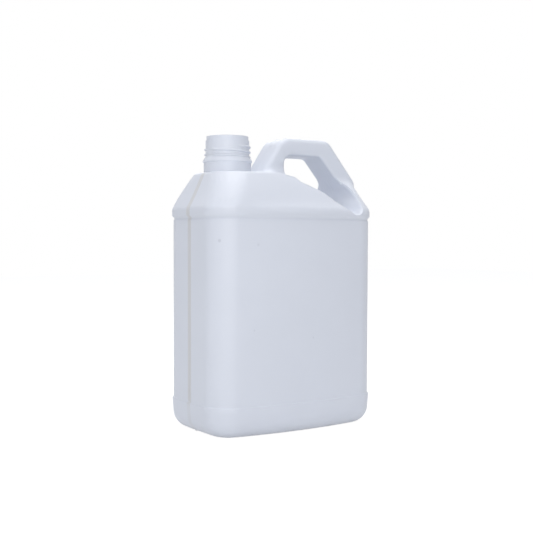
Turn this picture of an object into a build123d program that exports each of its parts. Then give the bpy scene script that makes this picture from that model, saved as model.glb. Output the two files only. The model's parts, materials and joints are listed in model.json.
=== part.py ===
"""A blow-moulded jug of about 2.5 litres with a screw neck and a hollow handle, in one piece.

The origin is at the centre of the base, +Z is up, the neck stands towards -X, the handle runs
towards +X and the front face looks along -Y. All sizes are in millimetres.
"""

from build123d import *
import os
from math import sqrt

os.makedirs("parts", exist_ok=True)

# Body, a rounded rectangle in plan whose four faces bow outwards a little
body_length = 156.8
body_depth = 98.2
corner_radius = 23.0
front_radius = 388.0
end_radius = 604.0
wall = 1.2

# Heights, each measured from the level below it
foot_height = 25.2
panel_height = 145.5
band_height = 8.3
shoulder_rise = 28.6
neck_rise = 29.2
grip_rise = 30.4

# The foot and the shoulder's band stand proud of the body, with a groove under the band
band_proud = 1.2
band_lip = 1.8
groove_depth = 0.5
groove_width = 1.6

# Foot: its draft in degrees, its edge, and the push-up in the base
foot_draft = 4.5
foot_edge = 14.0
base_rim = 19.0
base_rise = 2.5
base_draft = 35.0

# Shoulder: how far each side leans in from the band to the platform, and its roundings
neck_end_lean = 14.1
neck_end_radius = 24.0
neck_front_lean = 18.2
rear_end_lean = 5.5
rear_half_width = 10.0
rear_radius = 4.0
rear_foot_half_width = 31.0
rear_foot_radius = 20.0
shoulder_round = 7.0
platform_round = 4.0

# Handle
grip_width = 27.0
grip_depth = 14.6
grip_edge = 4.5
handle_blend = 8.0
hole_edge = 1.8

# Neck
neck_x = -43.5
land_radius = 17.6
bore_radius = 15.0
lip_radius = 16.9
lip_height = 3.4
bead_radius = 19.9
bead_drop = 20.6
bead_flat = 1.0
bead_slope = 3.8
bead_undercut = 0.5
skirt_radius = 19.1

# Levels and lengths that follow from those
groove_z = foot_height + panel_height
band_bottom = groove_z + groove_width / 2
band_top = groove_z + band_height
shoulder_middle = band_top + shoulder_rise * 0.46
platform_z = band_top + shoulder_rise
rim_z = platform_z + neck_rise
grip_top = platform_z + grip_rise
hole_top = grip_top - grip_depth
bead_z = rim_z - bead_drop
half_length = body_length / 2
half_depth = body_depth / 2
DIAGONAL = 1 - sqrt(0.5)


def flip(point, x=1, y=1):
    return Vector(point.X * x, point.Y * y)


def body_corner(inset):
    """Start, middle and end of the front right corner's arc, which is tangent to both bowed faces."""
    front_centre = Vector(0, front_radius - half_depth)
    end_centre = Vector(half_length - end_radius, 0)
    reach_front = front_radius - corner_radius
    reach_end = end_radius - corner_radius
    line = end_centre - front_centre
    along = (reach_front**2 - reach_end**2 + line.length**2) / (2 * line.length)
    across = sqrt(reach_front**2 - along**2)
    step = line.normalized()
    centre = front_centre + step * along + Vector(-step.Y, step.X) * across
    to_front = (centre - front_centre).normalized()
    to_end = (centre - end_centre).normalized()
    to_middle = (to_front + to_end).normalized()
    return [centre + way * (corner_radius - inset) for way in (to_front, to_middle, to_end)]


def body_outline(inset=0.0):
    """The body's plan as eight arcs, counter-clockwise from the front left corner; inset draws it in."""
    start, middle, end = body_corner(inset)
    front = Vector(0, inset - half_depth)
    side = Vector(half_length - inset, 0)
    ThreePointArc(flip(end, -1), flip(middle, -1), flip(start, -1))
    ThreePointArc(flip(start, -1), front, start)
    ThreePointArc(start, middle, end)
    ThreePointArc(end, side, flip(end, 1, -1))
    ThreePointArc(flip(end, 1, -1), flip(middle, 1, -1), flip(start, 1, -1))
    ThreePointArc(flip(start, 1, -1), flip(front, 1, -1), flip(start, -1, -1))
    ThreePointArc(flip(start, -1, -1), flip(middle, -1, -1), flip(end, -1, -1))
    ThreePointArc(flip(end, -1, -1), flip(side, -1), flip(end, -1))


def shoulder_outline(neck_corner, rear_corner, pulls):
    """A level of the shoulder with the body's eight edges, from its two front corners.

    Each corner is (X, half width, radius), and pulls bend the front's way from one to the other.
    """
    x0, y0, r0 = neck_corner
    x1, y1, r1 = rear_corner
    neck_arc = [
        Vector(x0, r0 - y0),
        Vector(x0 + r0 * DIAGONAL, r0 * DIAGONAL - y0),
        Vector(x0 + r0, -y0),
    ]
    rear_arc = [
        Vector(x1 - r1, -y1),
        Vector(x1 - r1 * DIAGONAL, r1 * DIAGONAL - y1),
        Vector(x1, r1 - y1),
    ]
    front = [neck_arc[2], Vector(pulls[0], -y0), Vector(pulls[1], -y1), rear_arc[0]]
    ThreePointArc(*neck_arc)
    Bezier(*front)
    ThreePointArc(*rear_arc)
    Line(rear_arc[2], flip(rear_arc[2], 1, -1))
    ThreePointArc(*[flip(p, 1, -1) for p in reversed(rear_arc)])
    Bezier(*[flip(p, 1, -1) for p in reversed(front)])
    ThreePointArc(*[flip(p, 1, -1) for p in reversed(neck_arc)])
    Line(flip(neck_arc[0], 1, -1), neck_arc[0])


def band_outline(inset=0.0):
    body_outline(inset - band_proud)


def middle_outline(inset=0.0):
    """The shoulder half way up, where the rear end has begun to narrow towards the handle."""
    proud = band_proud - inset
    shoulder_outline(
        (neck_end_lean * 0.5 - proud - half_length, half_depth + proud - neck_front_lean * 0.47, corner_radius),
        (half_length + proud - rear_end_lean * 0.35, rear_foot_half_width - inset, rear_foot_radius),
        (half_length, half_length * 0.2),
    )


def platform_outline(inset=0.0):
    """The shoulder's top, wide round the neck and inside the handle's width behind it."""
    proud = band_proud - inset
    shoulder_outline(
        (neck_end_lean - proud - half_length, half_depth + proud - neck_front_lean, neck_end_radius - inset),
        (half_length + proud - rear_end_lean, rear_half_width - inset, rear_radius),
        (half_length * 0.32, -half_length * 0.64),
    )


def handle_outline():
    """The handle seen from the front; its feet end inside the body."""
    FilletPolyline(
        (-22.6, platform_z - 5.7),
        (1.1, grip_top),
        (48.9, grip_top),
        (78.0, platform_z - 4.0),
        (77.2, platform_z - 17.0),
        (75.0, groove_z - 12.0),
        (40.0, groove_z - 6.0),
        (0.0, groove_z + 15.0),
        (-22.6, platform_z - 22.0),
        radius=[6, 15, 11, 9, 6, 6, 6, 6, 6],
        close=True,
    )


def hand_hole_outline():
    """The hand hole seen from the front: the front leg, the grip, the rear leg and the scoop below."""
    FilletPolyline(
        (3.5, platform_z - 5.3),
        (3.5, hole_top),
        (39.6, hole_top),
        (64.6, platform_z - 13.0),
        (57.6, band_top - 6.0),
        (43.0, band_top + 0.7),
        (25.0, band_top + 14.5),
        radius=[7, 7, 7, 14, 7, 35, 35],
        close=True,
    )


# Handle before its hole is cut
with BuildPart() as handle:
    with BuildSketch(Plane.XZ):
        with BuildLine():
            handle_outline()
        make_face()
    extrude(amount=grip_width / 2, both=True)
    sides = handle.faces().filter_by(Axis.Y, tolerance=1e-3).group_by(Axis.Y)
    fillet(sides[0].edges() + sides[-1].edges(), radius=grip_edge)

# Foot, drawn in towards the base, with a push-up that leaves a rim to stand on
with BuildPart() as foot:
    with BuildSketch(Plane.XY.offset(foot_height)):
        with BuildLine():
            band_outline()
        make_face()
    extrude(amount=-foot_height, taper=foot_draft)
    fillet(foot.edges().group_by(Axis.Z)[0], radius=foot_edge)
    chamfer(foot.edges().group_by(Axis.Z)[-1], length=band_proud * 0.95)
    with BuildSketch(Plane.XY):
        with BuildLine():
            body_outline(base_rim)
        make_face()
    extrude(amount=base_rise, taper=base_draft, mode=Mode.SUBTRACT)

# Body between the foot and the band, with the groove under the band at its top
with BuildPart() as panel:
    with BuildSketch(Plane.XY.offset(foot_height / 2)):
        with BuildLine():
            body_outline(foot_height / 4)
        make_face()
    extrude(amount=foot_height / 2)
    with BuildSketch(Plane.XY.offset(foot_height - band_proud)):
        with BuildLine():
            body_outline()
        make_face()
    extrude(amount=band_proud + panel_height - groove_width / 2)
    with BuildSketch(Plane.XY.offset(groove_z - groove_width)):
        with BuildLine():
            body_outline(groove_depth)
        make_face()
    extrude(amount=groove_width * 2)

# Band, shoulder, platform and handle, blended into one form before the hand hole is cut
with BuildPart() as shoulder:
    with BuildSketch(Plane.XY.offset(band_bottom)):
        with BuildLine():
            band_outline()
        make_face()
    extrude(amount=band_top - band_bottom)
    for level, outline in ((band_top, band_outline), (shoulder_middle, middle_outline), (platform_z, platform_outline)):
        with BuildSketch(Plane.XY.offset(level)):
            with BuildLine():
                outline()
            make_face()
    loft()
    fillet(shoulder.edges().filter_by_position(Axis.Z, band_top - 0.01, band_top + 0.01), radius=shoulder_round)
    chamfer(shoulder.edges().group_by(Axis.Z)[0], length=band_lip)
    fillet(shoulder.edges().group_by(Axis.Z)[-1], radius=platform_round)
    add(handle.part)
    fillet(shoulder.edges(Select.NEW), radius=handle_blend)
    with BuildSketch(Plane.XZ):
        with BuildLine():
            hand_hole_outline()
        make_face()
    extrude(amount=body_depth, both=True, mode=Mode.SUBTRACT)
    chamfer(shoulder.edges(Select.NEW).filter_by(Axis.Y, reverse=True), length=hole_edge)

# Neck, turned about its own axis
neck_axis = Axis((neck_x, 0, 0), (0, 0, 1))
with BuildPart() as neck:
    with BuildSketch(Plane(origin=(neck_x, 0, 0), x_dir=(1, 0, 0), z_dir=(0, -1, 0))):
        with BuildLine():
            Polyline(
                (0, platform_z - wall),
                (skirt_radius, platform_z - wall),
                (skirt_radius, bead_z - bead_undercut),
                (bead_radius, bead_z),
                (bead_radius, bead_z + bead_flat),
                (land_radius, bead_z + bead_flat + bead_slope),
                (land_radius, rim_z - lip_height),
                (lip_radius, rim_z - lip_height),
                (lip_radius, rim_z),
                (0, rim_z),
                close=True,
            )
        make_face()
    revolve(axis=neck_axis)

# Hollow of the body, one wall in from the outside
with BuildPart() as body_hollow:
    with BuildSketch(Plane.XY.offset(wall)):
        with BuildLine():
            body_outline(wall)
        make_face()
    extrude(amount=groove_z - wall * 3)
    chamfer(
        body_hollow.edges().group_by(Axis.Z)[0],
        length=(foot_edge - wall) * 0.7,
        length2=(foot_edge - wall) * 0.55,
    )
    with BuildSketch(Plane.XY.offset(wall)):
        with BuildLine():
            body_outline(base_rim - wall)
        make_face()
    extrude(amount=base_rise, taper=base_draft, mode=Mode.SUBTRACT)

# Hollow of the shoulder, one wall in, round the hand hole
with BuildPart() as shoulder_hollow:
    with BuildSketch(Plane.XY.offset(groove_z - wall * 3)):
        with BuildLine():
            body_outline(wall)
        make_face()
    extrude(amount=band_height + wall * 3)
    for level, outline, inset in ((band_top, body_outline, wall), (platform_z - wall, platform_outline, wall * 2)):
        with BuildSketch(Plane.XY.offset(level)):
            with BuildLine():
                outline(inset)
            make_face()
    loft(ruled=True)

# Hollow of the handle, one wall in
with BuildPart() as handle_hollow:
    with BuildSketch(Plane.XZ):
        with BuildLine():
            handle_outline()
        make_face()
        offset(amount=-wall)
    extrude(amount=grip_width / 2 - wall, both=True)
    sides = handle_hollow.faces().filter_by(Axis.Y, tolerance=1e-3).group_by(Axis.Y)
    chamfer(sides[0].edges() + sides[-1].edges(), length=(grip_edge - wall) * 0.6)

# The whole hollow, with the walls of the hand hole left standing
with BuildPart() as hollow:
    add(body_hollow.part)
    add(shoulder_hollow.part)
    add(handle_hollow.part)
    with BuildSketch(Plane.XZ):
        with BuildLine():
            hand_hole_outline()
        make_face()
        offset(amount=wall)
    extrude(amount=body_depth, both=True, mode=Mode.SUBTRACT)
    with BuildSketch(Plane.XY.offset(platform_z - wall * 2)):
        with Locations((neck_x, 0)):
            Circle(bore_radius)
    extrude(amount=neck_rise + wall * 4)

with BuildPart() as jug:
    add(foot.part)
    add(panel.part)
    add(shoulder.part)
    add(neck.part)
    add(hollow.part, mode=Mode.SUBTRACT)

jug.part.label = "jug"
export_step(jug.part, "parts/jug.step")
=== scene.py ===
# %% [markdown]
# A plastic jug of about two and a half litres, blow-moulded in natural white polyethylene.
# The solid model brings the walls, the neck, the handle and the foot at their real sizes.
# This lesson gives them a surface, adds the screw thread and the mould's parting line, and
# sets the light and the camera.

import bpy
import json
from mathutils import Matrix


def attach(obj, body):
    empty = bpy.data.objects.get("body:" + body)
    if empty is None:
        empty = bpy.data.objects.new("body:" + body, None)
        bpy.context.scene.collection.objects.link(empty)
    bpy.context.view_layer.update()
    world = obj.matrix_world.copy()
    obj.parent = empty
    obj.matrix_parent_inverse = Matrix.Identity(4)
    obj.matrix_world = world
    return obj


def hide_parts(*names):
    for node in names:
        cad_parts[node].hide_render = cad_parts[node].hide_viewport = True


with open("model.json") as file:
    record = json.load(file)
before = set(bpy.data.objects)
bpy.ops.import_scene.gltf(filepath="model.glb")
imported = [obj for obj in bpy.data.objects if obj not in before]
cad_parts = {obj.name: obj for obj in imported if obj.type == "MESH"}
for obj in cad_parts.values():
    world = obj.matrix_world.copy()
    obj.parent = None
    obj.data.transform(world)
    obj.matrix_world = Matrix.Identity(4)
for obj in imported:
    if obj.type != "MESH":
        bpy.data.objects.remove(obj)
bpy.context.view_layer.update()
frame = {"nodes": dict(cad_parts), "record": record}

# %% [markdown]
# Everything is in metres here, but a moulder thinks in millimetres, so sizes are written in
# millimetres and multiplied by one factor. The neck's place and its rim come with the model's
# record, so the thread stays on the neck if the neck moves.

# %% Sizes taken from the model
import json
from math import cos, pi, radians, sin

import bmesh
import bpy
from mathutils import Matrix, Vector
from mathutils.bvhtree import BVHTree

MM = 0.001
neck_bore = {mount["name"]: mount for mount in frame["record"]["mounts"]}["neck_bore"]
neck_x = neck_bore["pos_m"][0]
rim_z = neck_bore["pos_m"][2] + neck_bore["dims"]["length_mm"] * MM / 2
neck_rise = 29.2 * MM
foot_height = 25.2 * MM
platform_z = rim_z - neck_rise
print("neck axis at x", round(neck_x, 4), "rim at z", round(rim_z, 4))

# %% [markdown]
# The camera stands where the photographer stood, a little to the neck's side and level with
# the upper half of the jug. Its lens and place were worked out from the jug's straight lines:
# the groove, the foot's edge and the two sides.

# %% Camera
camera_place = Vector((-431.7, -654.4, 155.5)) * MM
camera_turn = radians(33.07)
camera_tilt = radians(2.41)
camera_roll = radians(0.15)
camera_lens = 60.87

compass = Vector((sin(camera_turn), cos(camera_turn), 0))
ahead = compass * cos(camera_tilt) - Vector((0, 0, sin(camera_tilt)))
level = Vector((cos(camera_turn), -sin(camera_turn), 0))
above = level.cross(ahead)
right = level * cos(camera_roll) + above * sin(camera_roll)
up = above * cos(camera_roll) - level * sin(camera_roll)

camera = bpy.data.objects.new("camera", bpy.data.cameras.new("camera"))
camera.data.lens = camera_lens
camera.data.clip_start = 0.01
camera.matrix_world = Matrix.Translation(camera_place) @ Matrix((right, up, -ahead)).transposed().to_4x4()
bpy.context.scene.collection.objects.link(camera)
bpy.context.scene.camera = camera
print("camera", round(camera_place.length, 3), "m from the jug's foot")

# %% [markdown]
# Colours are given as sRGB hex values, the way a colour card gives them, and Blender
# wants linear light, so one function turns the one into the other. A second one adds a shader
# node with its settings and its links, which keeps each material short.

# %% Helpers for materials
def linear(hex_value):
    """An sRGB hex colour as linear RGBA."""
    parts = [int(hex_value[i : i + 2], 16) / 255 for i in (1, 3, 5)]
    return tuple(p / 12.92 if p <= 0.04045 else ((p + 0.055) / 1.055) ** 2.4 for p in parts) + (1,)


def add_node(tree, kind, settings=None, **links):
    """One node, with its settings, and its inputs by name, or by number as i0 and i1."""
    node = tree.nodes.new(kind)
    for name, value in (settings or {}).items():
        setattr(node, name, value)
    for name, value in links.items():
        socket = node.inputs[int(name[1:]) if name[1:].isdigit() else name.replace("_", " ")]
        if isinstance(value, bpy.types.Node):
            value = value.outputs[0]
        if isinstance(value, bpy.types.NodeSocket):
            tree.links.new(value, socket)
        else:
            socket.default_value = value
    return node


def new_tree(owner):
    """The empty node tree of a material or a world."""
    owner.use_nodes = True
    owner.node_tree.nodes.clear()
    return owner.node_tree


print("white is", tuple(round(v, 3) for v in linear("#ffffff")))

# %% [markdown]
# The jug is natural high-density polyethylene, blown in a mould that was blasted to a fine
# matt. It is waxy and a little translucent: light comes through the thin neck and handle, and
# the gloss is broad and soft. The colour clouds a little, because the wall isn't equally thick.

# %% Natural HDPE: colour
hdpe = bpy.data.materials.new("hdpe_natural_blasted")
tree = new_tree(hdpe)
place = add_node(tree, "ShaderNodeTexCoord").outputs["Object"]
axes = add_node(tree, "ShaderNodeSeparateXYZ", Vector=place).outputs

cloud_size = 70 * MM
cloud_low = 0.35
cloud_high = 0.65
cloud = add_node(tree, "ShaderNodeTexNoise", Vector=place, Scale=1 / cloud_size, Detail=3.0, Roughness=0.5)
thick = add_node(tree, "ShaderNodeMapRange", Value=cloud, From_Min=cloud_low, From_Max=cloud_high)
colour = add_node(
    tree,
    "ShaderNodeMix",
    {"data_type": "RGBA"},
    Factor=thick,
    A=linear("#dde1ea"),
    B=linear("#dfe3ec"),
).outputs["Result"]
print("clouds of", round(cloud_size / MM), "mm")

# %% [markdown]
# A view stripe runs down the neck end, from the neck's foot to the jug's foot. The tube of melt
# that the jug is blown from has one strip of clear resin in it, through which the level of the
# liquid shows. It is a shade darker and greyer than the wall, and fades out over the foot. It
# could be a strip of its own mesh, but it is flush with the wall, so it is masked by place: near
# the parting plane, on the neck end, between two heights.

# %% View stripe
stripe_width = 5.4 * MM
stripe_edge = 0.35 * MM
stripe_end_x = -55 * MM
stripe_stop = 0.6 * MM
stripe_fade_low = 6 * MM
stripe_fade_high = 4 * MM
stripe_on_foot = 0.35

from_plane = add_node(tree, "ShaderNodeMath", {"operation": "ABSOLUTE"}, i0=axes["Y"])
beside = add_node(
    tree,
    "ShaderNodeMapRange",
    {"interpolation_type": "SMOOTHSTEP"},
    Value=from_plane,
    From_Min=stripe_width / 2 - stripe_edge,
    From_Max=stripe_width / 2 + stripe_edge,
    To_Min=1.0,
    To_Max=0.0,
)
stripe_top = platform_z - stripe_stop
on_end = add_node(tree, "ShaderNodeMath", {"operation": "LESS_THAN"}, i0=axes["X"], i1=stripe_end_x)
under_neck = add_node(tree, "ShaderNodeMath", {"operation": "LESS_THAN"}, i0=axes["Z"], i1=stripe_top)
over_foot = add_node(
    tree,
    "ShaderNodeMapRange",
    {"interpolation_type": "SMOOTHSTEP"},
    Value=axes["Z"],
    From_Min=foot_height - stripe_fade_low,
    From_Max=foot_height + stripe_fade_high,
    To_Min=stripe_on_foot,
)
stripe = beside
for mask in (on_end, under_neck, over_foot):
    stripe = add_node(tree, "ShaderNodeMath", {"operation": "MULTIPLY"}, i0=stripe, i1=mask)
colour = add_node(
    tree, "ShaderNodeMix", {"data_type": "RGBA"}, Factor=stripe, A=colour, B=linear("#d6d7da")
).outputs["Result"]
print("stripe", round(stripe_width / MM, 1), "mm wide")

# %% [markdown]
# The jug has a few faint grey spots on its front, where a speck or a bubble lies in the wall.
# Each one is a soft disc round its own place, laid over the colour: a centre on the surface in
# millimetres, a radius, and how strongly it shows. Its edge is soft from a third of the radius
# to a little past it.

# %% Spots in the wall
spot_colour = linear("#c3c7d1")
spot_core = 0.3
spot_edge = 1.2
spots = [
    ((-72.4, -37.0, 153.4), 1.6, 0.55),
    ((-43.4, -46.6, 150.4), 1.3, 0.30),
    ((-46.6, -46.3, 84.3), 0.9, 0.35),
    ((7.4, -49.0, 76.1), 0.9, 0.35),
]
for centre, radius, strength in spots:
    middle = Vector(centre) * MM
    away = add_node(tree, "ShaderNodeVectorMath", {"operation": "DISTANCE"}, i0=place, i1=middle)
    disc = add_node(
        tree,
        "ShaderNodeMapRange",
        {"interpolation_type": "SMOOTHSTEP"},
        Value=away.outputs["Value"],
        From_Min=radius * spot_core * MM,
        From_Max=radius * spot_edge * MM,
        To_Min=strength,
        To_Max=0.0,
    )
    colour = add_node(
        tree, "ShaderNodeMix", {"data_type": "RGBA"}, Factor=disc, A=colour, B=spot_colour
    ).outputs["Result"]
print(len(spots), "spots")

# %% [markdown]
# The surface has two scales. The blasted mould leaves a fine grain, about a third of a
# millimetre, which is drawn at half a millimetre so that it shows at all. The wall itself
# shrinks a little unevenly as it cools, so the broad faces wave by about a third of a millimetre
# every few centimetres, which bends the soft highlights.

# %% Natural HDPE: surface
grain_size = 0.5 * MM
grain_height = 0.02 * MM
wave_size = 45 * MM
wave_height = 0.35 * MM

grain = add_node(tree, "ShaderNodeTexNoise", Vector=place, Scale=1 / grain_size, Detail=2.0, Roughness=0.6)
wave = add_node(tree, "ShaderNodeTexNoise", Vector=place, Scale=1 / wave_size, Detail=1.0, Roughness=0.4)
sink = add_node(tree, "ShaderNodeBump", Strength=1.0, Distance=wave_height, Height=wave)
blasted = add_node(
    tree, "ShaderNodeBump", Strength=0.3, Distance=grain_height, Height=grain, Normal=sink
)
skin = add_node(
    tree,
    "ShaderNodeBsdfPrincipled",
    Base_Color=colour,
    Roughness=0.42,
    IOR=1.54,
    Subsurface_Weight=0.1,
    Subsurface_Radius=(1.0, 0.97, 0.95),
    Subsurface_Scale=1.5 * MM,
    Normal=blasted,
)
add_node(tree, "ShaderNodeOutputMaterial", Surface=skin)
print("hdpe has", len(tree.nodes), "nodes")

# %% [markdown]
# The jug's own mesh comes from the solid model in facets that don't share their corners. A
# copy is welded and shaded smooth, with creases kept where two faces meet at more than a
# moulded edge would. The copy stands for the solid, which stays hidden for its weight and
# collision. Its chamfered edges then shade as the small roundings that a mould has.

# %% The jug's skin
crease = radians(50)
weld_reach = 0.002 * MM

solid = frame["nodes"]["jug"]
jug = bpy.data.objects.new("jug_skin", solid.data.copy())
bpy.context.scene.collection.objects.link(jug)
form = bmesh.new()
form.from_mesh(jug.data)
bmesh.ops.remove_doubles(form, verts=form.verts, dist=weld_reach)
for face in form.faces:
    face.smooth = True
for edge in form.edges:
    edge.smooth = len(edge.link_faces) == 2 and edge.calc_face_angle(pi) < crease
form.to_mesh(jug.data)
form.free()
jug.data.materials.clear()
jug.data.materials.append(hdpe)
weigh = jug.modifiers.new("weighted_normals", "WEIGHTED_NORMAL")
weigh.keep_sharp = True
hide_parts("jug")
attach(jug, "root")
print("skin has", len(jug.data.polygons), "faces")

# %% [markdown]
# Where the two halves of the mould close, a fine ridge of plastic stands up all round the jug.
# It lies in one plane, so it could be drawn by hand as a curve, but the skin already knows the
# way: it is cut by that plane, and the ridge follows the cut. Only the outside counts, and there
# nothing of the jug lies beside the cut, while in the hollow a wall does. The push-up under the
# base is the one place outside with a wall beside it. The neck, whose thread is trimmed there,
# and the rim that the jug stands on are left out.

# %% Cut at the parting plane
base_rise = 2.5 * MM
base_reach = base_rise + 1 * MM
floor_clear = 1.4 * MM
neck_clear = 21.5 * MM
neck_foot = platform_z - 1 * MM
look_ahead = 0.3 * MM


def outer_cut(data):
    """The outside edges of the cut at y = 0, and each of their points' outward direction."""
    form = bmesh.new()
    form.from_mesh(data)
    walls = BVHTree.FromBMesh(form)
    parts = form.verts[:] + form.edges[:] + form.faces[:]
    cut = bmesh.ops.bisect_plane(form, geom=parts, plane_co=(0, 0, 0), plane_no=(0, 1, 0))["geom_cut"]
    edges = set()
    outward = {}
    for edge in cut:
        if not isinstance(edge, bmesh.types.BMEdge) or edge.calc_length() == 0:
            continue
        ends = tuple(sorted(tuple(v.co) for v in edge.verts))
        middle = (edge.verts[0].co + edge.verts[1].co) / 2
        out = sum((face.normal for face in edge.link_faces), Vector())
        out.y = 0
        out.normalize()
        under_base = middle.z < base_reach and out.z < 0
        in_air = walls.ray_cast(middle + out * look_ahead, Vector((0, 1, 0)))[0] is None
        on_neck = abs(middle.x - neck_x) < neck_clear and middle.z > neck_foot
        if (in_air or under_base) and not on_neck and middle.z >= floor_clear:
            edges.add(ends)
            for end in ends:
                outward[end] = outward.get(end, Vector()) + out
    form.free()
    return sorted(edges), outward


cut_edges, cut_outward = outer_cut(jug.data)
print("the cut has", len(cut_edges), "edges outside")

# %% [markdown]
# Each point of the cut carries a small triangle, which stands on the skin with its foot sunk a
# little, and each edge of the cut joins two of them into a closed ridge. At one place on the
# handle the two mould halves left a small nub, and under the base, where the mould pinched the
# tube of melt off, the ridge is broader and higher.

# %% Parting line
ridge_width = 0.7 * MM
ridge_height = 0.16 * MM
ridge_root = 0.08 * MM
pinch_height = 0.4 * MM
nub_place = Vector((4.5, 0, 238.0)) * MM
nub_reach = 1.5 * MM
nub_height = 0.75 * MM


def ridge_mesh(edges, outward):
    """A closed ridge of triangular section along the cut's edges."""
    mesh = bmesh.new()
    rings = {}
    for end, out in outward.items():
        spot = Vector(end)
        nub = max(0, 1 - (spot - nub_place).length / nub_reach)
        pinch = 1 if spot.z < base_reach else 0
        high = out.normalized() * (ridge_height + nub_height * nub + pinch_height * pinch)
        low = out.normalized() * -ridge_root
        wide = Vector((0, ridge_width / 2 * (1 + nub + pinch), 0))
        rings[end] = [mesh.verts.new(spot + step) for step in (low - wide, high, low + wide)]
    for one, two in edges:
        a, b = rings[one], rings[two]
        for i in range(3):
            j = (i + 1) % 3
            mesh.faces.new((a[i], b[i], b[j], a[j]))
    bmesh.ops.holes_fill(mesh, edges=[e for e in mesh.edges if e.is_boundary], sides=3)
    bmesh.ops.recalc_face_normals(mesh, faces=mesh.faces)
    for face in mesh.faces:
        face.smooth = True
    data = bpy.data.meshes.new("parting_line")
    mesh.to_mesh(data)
    mesh.free()
    return data


ridge = bpy.data.objects.new("parting_line", ridge_mesh(cut_edges, cut_outward))
bpy.context.scene.collection.objects.link(ridge)
ridge.data.materials.append(hdpe)
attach(ridge, "root")
print("parting line has", len(ridge.data.polygons), "faces")

# %% [markdown]
# The thread is one rib of rounded section, wound round the neck in a helix. It starts thin
# under the lip, runs nearly two and a half turns, and is cut away where the two mould halves
# meet, so that gas can leave the cap. A screw modifier would give an even rib, so it is built as
# a grid instead: a section of a few points is carried along the helix, and its height fades at
# the start, the end and each break.

# %% Screw thread
thread_pitch = 4.0 * MM
thread_land = 17.6 * MM
thread_rise = 1.15 * MM
thread_root = 2.1 * MM
thinnest_root = 0.55
thread_sunk = 0.15 * MM
thread_drop = 7.5 * MM
thread_from = radians(-121)
thread_start = radians(-93)
thread_turns = 2.4
steps_per_turn = 90
start_fade = radians(30)
end_fade = radians(14)
break_half = radians(13)
break_fade = radians(9)
rib_side = [(-0.5, -1), (-0.5, 0), (-0.28, 0.75), (-0.14, 1)]
rib = rib_side + [(-across, out) for across, out in reversed(rib_side)]


def thread_height(angle, end):
    """How high the rib stands at an angle, from 0 to 1."""
    to_seam = abs((angle + pi / 2) % pi - pi / 2)
    from_start = (angle - thread_start) / start_fade
    from_end = (end - angle) / end_fade
    rise = max(0, min(from_start, from_end, (to_seam - break_half) / break_fade, 1))
    return rise * rise * (3 - 2 * rise)


def thread_mesh():
    """The rib as a closed strip of rings, each ring across the rib from root to root."""
    end = thread_start + thread_turns * 2 * pi
    steps = int(thread_turns * steps_per_turn)
    mesh = bmesh.new()
    rings = []
    for i in range(steps + 1):
        angle = thread_start + (end - thread_start) * i / steps
        height = thread_height(angle, end)
        middle = rim_z - thread_drop - thread_pitch * (angle - thread_from) / (2 * pi)
        width = thread_root * (thinnest_root + (1 - thinnest_root) * height)
        ring = []
        for across, out in rib:
            radius = thread_land + (thread_rise * out * height if out > 0 else thread_sunk * out)
            spot = (neck_x + radius * cos(angle), radius * sin(angle), middle + across * width)
            ring.append(mesh.verts.new(spot))
        rings.append(ring)
    for one, two in zip(rings, rings[1:]):
        for j in range(len(rib)):
            k = (j + 1) % len(rib)
            mesh.faces.new((one[j], two[j], two[k], one[k]))
    mesh.faces.new(rings[0])
    mesh.faces.new(reversed(rings[-1]))
    bmesh.ops.recalc_face_normals(mesh, faces=mesh.faces)
    for face in mesh.faces:
        face.smooth = True
    data = bpy.data.meshes.new("thread")
    mesh.to_mesh(data)
    mesh.free()
    return data


thread = bpy.data.objects.new("neck_thread", thread_mesh())
bpy.context.scene.collection.objects.link(thread)
thread.data.materials.append(hdpe)
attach(thread, "root")
print("thread has", len(thread.data.polygons), "faces")

# %% [markdown]
# The jug was photographed on seamless white. For the camera the floor glows to just under paper
# white, and the light that falls on it takes it over the edge everywhere but in the jug's
# shadow. For the jug itself the floor is plain pale paper.

# %% White floor and backdrop
floor_size = 6.0
glow_strength = 0.93
lit_share = 0.22


def seen_as_white(tree):
    """1 for rays from the camera, off gloss or through glass, and 0 for those that carry light."""
    ray = add_node(tree, "ShaderNodeLightPath").outputs
    share = ray["Is Camera Ray"]
    for kind in ("Is Glossy Ray", "Is Transmission Ray"):
        share = add_node(tree, "ShaderNodeMath", {"operation": "MAXIMUM"}, i0=share, i1=ray[kind])
    return share


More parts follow.
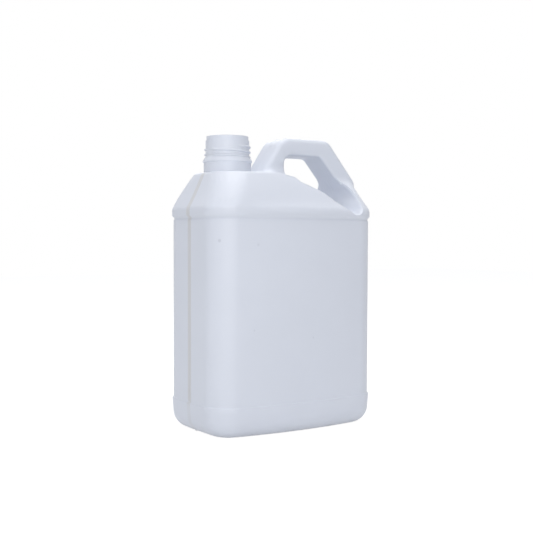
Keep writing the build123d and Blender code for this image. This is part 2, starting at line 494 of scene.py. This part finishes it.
paper = bpy.data.materials.new("white_paper")
tree = new_tree(paper)
matt = add_node(tree, "ShaderNodeBsdfDiffuse", Color=linear("#f0f0f0"))
glow = add_node(tree, "ShaderNodeEmission", Color=(1, 1, 1, 1), Strength=glow_strength)
faint = add_node(tree, "ShaderNodeBsdfDiffuse", Color=(lit_share, lit_share, lit_share, 1))
bright = add_node(tree, "ShaderNodeAddShader", i0=glow, i1=faint)
both = add_node(tree, "ShaderNodeMixShader", Fac=seen_as_white(tree), i1=matt, i2=bright)
add_node(tree, "ShaderNodeOutputMaterial", Surface=both)

bpy.ops.mesh.primitive_plane_add(size=floor_size, location=(0, 0, 0))
floor = bpy.context.object
floor.name = "floor"
floor.data.materials.append(paper)
print("floor", floor_size, "m square")

# %% [markdown]
# The light is soft: a large key lamp beside the camera on the neck's side, another one overhead,
# weaker ones to the left and behind, and a dim bluish room. So the corner towards the camera is
# the brightest part of the body, and the front darkens a little towards the handle's end. The
# lamps are large, so the satin plastic shows broad highlights without edges.

# %% Light
room_colour = (0.86, 0.90, 1.0, 1)
room_level = 0.30
lamp_size = 1.1
lamp_distance = 1.6
jug_middle = Vector((0, 0, 0.12))

world = bpy.data.worlds.new("studio")
bpy.context.scene.world = world
tree = new_tree(world)
room = add_node(tree, "ShaderNodeBackground", Color=room_colour, Strength=room_level)
white = add_node(tree, "ShaderNodeBackground", Color=(1, 1, 1, 1), Strength=1.0)
both = add_node(tree, "ShaderNodeMixShader", Fac=seen_as_white(tree), i1=room, i2=white)
add_node(tree, "ShaderNodeOutputWorld", Surface=both)


def soft_lamp(name, turn, height, power):
    """A square lamp that faces the jug's middle, at a turn from +X and a height in degrees."""
    sideways = Vector((cos(radians(turn)), sin(radians(turn)), 0))
    way = sideways * cos(radians(height)) + Vector((0, 0, sin(radians(height))))
    lamp = bpy.data.objects.new(name, bpy.data.lights.new(name, "AREA"))
    lamp.data.size = lamp_size
    lamp.data.energy = power
    lamp.location = jug_middle + way * lamp_distance
    lamp.rotation_euler = way.to_track_quat("Z", "Y").to_euler()
    bpy.context.scene.collection.objects.link(lamp)
    print(name, power, "W")


soft_lamp("left_light", 188, 22, 1.7)
soft_lamp("back_light", 60, 40, 5.0)
soft_lamp("key_light", 238, 20, 10.2)
soft_lamp("top_light", 0, 90, 12.8)
bpy.context.scene.view_settings.view_transform = "Standard"
